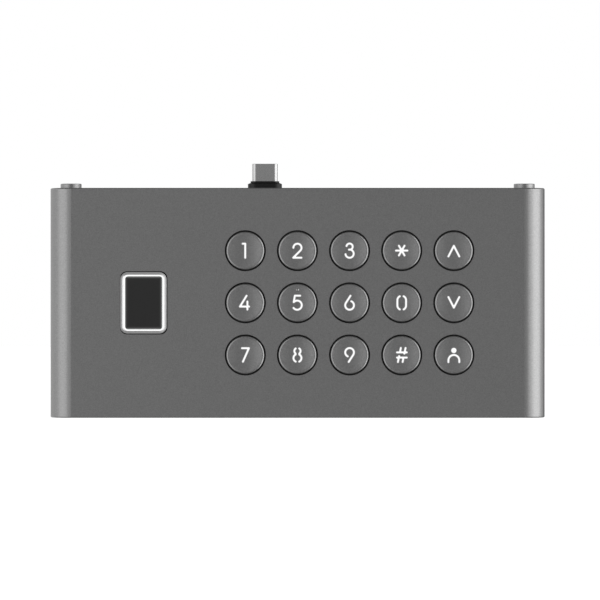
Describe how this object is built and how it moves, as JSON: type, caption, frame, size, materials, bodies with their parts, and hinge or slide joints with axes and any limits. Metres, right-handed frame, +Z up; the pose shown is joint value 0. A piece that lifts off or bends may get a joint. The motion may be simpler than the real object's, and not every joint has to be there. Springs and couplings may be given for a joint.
{
  "type": "keypad access reader",
  "caption": "Flat aluminium access module with a sprung backlit key field, a framed fingerprint sensor, and a plug and two locating studs on its top edge.",
  "frame": {"origin": "centre of the flat rear face that goes against the wall", "axes": "+X to the right as seen from the front, +Y out of the rear face into the wall, +Z up towards the plug"},
  "size_m": [0.1594, 0.0286, 0.0819],
  "materials": {
    "grey_aluminium": "fine bead-blasted and anodised, dark grey, satin",
    "key_metal": "fine bead-blasted and anodised, dark grey, satin",
    "lit_plastic": "clear white, lit from behind",
    "black_plastic": "moulded, fine texture",
    "cover_plastic": "moulded, fine spark texture",
    "mat_rubber": "translucent silicone",
    "seal_rubber": "soft silicone",
    "lamp_white": "small white lamps",
    "board_green": "green lacquered circuit board",
    "chip_black": "moulded chip package",
    "bare_aluminium": "bare cans",
    "bright_bezel": "bright satin metal",
    "sensor_glass": "dark hard coating, smooth",
    "socket_white": "moulded socket",
    "ribbon_white": "flat flexible ribbon",
    "plug_black": "moulded, smooth",
    "plug_steel": "plated, satin",
    "contact_gold": "gold plated",
    "stud_steel": "turned steel, satin",
    "insert_brass": "knurled brass",
    "screw_steel": "stainless, satin"
  },
  "bodies": {
    "housing": {"front_shell": "grey_aluminium", "key_frame": "black_plastic", "keypad_mat": "mat_rubber", "key_switches": "black_plastic", "key_lights": "lamp_white", "main_board": "board_green", "board_chips": "chip_black", "board_capacitors": "bare_aluminium", "sensor_gasket": "seal_rubber", "sensor_bezel": "bright_bezel", "sensor_light_ring": "lit_plastic", "sensor_window": "sensor_glass", "sensor_core": "chip_black", "sensor_spacer": "black_plastic", "sensor_board": "board_green", "ring_lights": "lamp_white", "ribbon_sockets": "socket_white", "sensor_ribbon": "ribbon_white", "plug_base": "plug_black", "plug_shell": "plug_steel", "plug_core": "plug_black", "plug_contacts": "contact_gold", "plug_board": "board_green", "link_connector": "black_plastic", "locating_studs": "stud_steel", "rear_cover": "cover_plastic", "rear_seal": "seal_rubber", "bracket_inserts": "insert_brass", "cover_screws": "screw_steel", "inner_screws": "screw_steel"},
    "key_1": {"key_1_cap": "key_metal", "key_1_light_guide": "lit_plastic"},
    "key_2": {"key_2_cap": "key_metal", "key_2_light_guide": "lit_plastic"},
    "key_3": {"key_3_cap": "key_metal", "key_3_light_guide": "lit_plastic"},
    "key_star": {"key_star_cap": "key_metal", "key_star_light_guide": "lit_plastic"},
    "key_up": {"key_up_cap": "key_metal", "key_up_light_guide": "lit_plastic"},
    "key_4": {"key_4_cap": "key_metal", "key_4_light_guide": "lit_plastic"},
    "key_5": {"key_5_cap": "key_metal", "key_5_light_guide": "lit_plastic"},
    "key_6": {"key_6_cap": "key_metal", "key_6_light_guide": "lit_plastic"},
    "key_0": {"key_0_cap": "key_metal", "key_0_light_guide": "lit_plastic"},
    "key_down": {"key_down_cap": "key_metal", "key_down_light_guide": "lit_plastic"},
    "key_7": {"key_7_cap": "key_metal", "key_7_light_guide": "lit_plastic"},
    "key_8": {"key_8_cap": "key_metal", "key_8_light_guide": "lit_plastic"},
    "key_9": {"key_9_cap": "key_metal", "key_9_light_guide": "lit_plastic"},
    "key_hash": {"key_hash_cap": "key_metal", "key_hash_light_guide": "lit_plastic"},
    "key_call": {"key_call_cap": "key_metal", "key_call_light_guide": "lit_plastic"}
  },
  "joints": [
    {"name": "key_1_press", "type": "slide", "parent": "housing", "child": "key_1", "axis": [0, 1, 0], "range_m": [0, 0.0006], "stiffness_N_per_m": 1200, "springref_m": -0.0005, "deforming": ["keypad_mat"]},
    {"name": "key_2_press", "type": "slide", "parent": "housing", "child": "key_2", "axis": [0, 1, 0], "range_m": [0, 0.0006], "stiffness_N_per_m": 1200, "springref_m": -0.0005, "deforming": ["keypad_mat"]},
    {"name": "key_3_press", "type": "slide", "parent": "housing", "child": "key_3", "axis": [0, 1, 0], "range_m": [0, 0.0006], "stiffness_N_per_m": 1200, "springref_m": -0.0005, "deforming": ["keypad_mat"]},
    {"name": "key_star_press", "type": "slide", "parent": "housing", "child": "key_star", "axis": [0, 1, 0], "range_m": [0, 0.0006], "stiffness_N_per_m": 1200, "springref_m": -0.0005, "deforming": ["keypad_mat"]},
    {"name": "key_up_press", "type": "slide", "parent": "housing", "child": "key_up", "axis": [0, 1, 0], "range_m": [0, 0.0006], "stiffness_N_per_m": 1200, "springref_m": -0.0005, "deforming": ["keypad_mat"]},
    {"name": "key_4_press", "type": "slide", "parent": "housing", "child": "key_4", "axis": [0, 1, 0], "range_m": [0, 0.0006], "stiffness_N_per_m": 1200, "springref_m": -0.0005, "deforming": ["keypad_mat"]},
    {"name": "key_5_press", "type": "slide", "parent": "housing", "child": "key_5", "axis": [0, 1, 0], "range_m": [0, 0.0006], "stiffness_N_per_m": 1200, "springref_m": -0.0005, "deforming": ["keypad_mat"]},
    {"name": "key_6_press", "type": "slide", "parent": "housing", "child": "key_6", "axis": [0, 1, 0], "range_m": [0, 0.0006], "stiffness_N_per_m": 1200, "springref_m": -0.0005, "deforming": ["keypad_mat"]},
    {"name": "key_0_press", "type": "slide", "parent": "housing", "child": "key_0", "axis": [0, 1, 0], "range_m": [0, 0.0006], "stiffness_N_per_m": 1200, "springref_m": -0.0005, "deforming": ["keypad_mat"]},
    {"name": "key_down_press", "type": "slide", "parent": "housing", "child": "key_down", "axis": [0, 1, 0], "range_m": [0, 0.0006], "stiffness_N_per_m": 1200, "springref_m": -0.0005, "deforming": ["keypad_mat"]},
    {"name": "key_7_press", "type": "slide", "parent": "housing", "child": "key_7", "axis": [0, 1, 0], "range_m": [0, 0.0006], "stiffness_N_per_m": 1200, "springref_m": -0.0005, "deforming": ["keypad_mat"]},
    {"name": "key_8_press", "type": "slide", "parent": "housing", "child": "key_8", "axis": [0, 1, 0], "range_m": [0, 0.0006], "stiffness_N_per_m": 1200, "springref_m": -0.0005, "deforming": ["keypad_mat"]},
    {"name": "key_9_press", "type": "slide", "parent": "housing", "child": "key_9", "axis": [0, 1, 0], "range_m": [0, 0.0006], "stiffness_N_per_m": 1200, "springref_m": -0.0005, "deforming": ["keypad_mat"]},
    {"name": "key_hash_press", "type": "slide", "parent": "housing", "child": "key_hash", "axis": [0, 1, 0], "range_m": [0, 0.0006], "stiffness_N_per_m": 1200, "springref_m": -0.0005, "deforming": ["keypad_mat"]},
    {"name": "key_call_press", "type": "slide", "parent": "housing", "child": "key_call", "axis": [0, 1, 0], "range_m": [0, 0.0006], "stiffness_N_per_m": 1200, "springref_m": -0.0005, "deforming": ["keypad_mat"]}
  ]
}
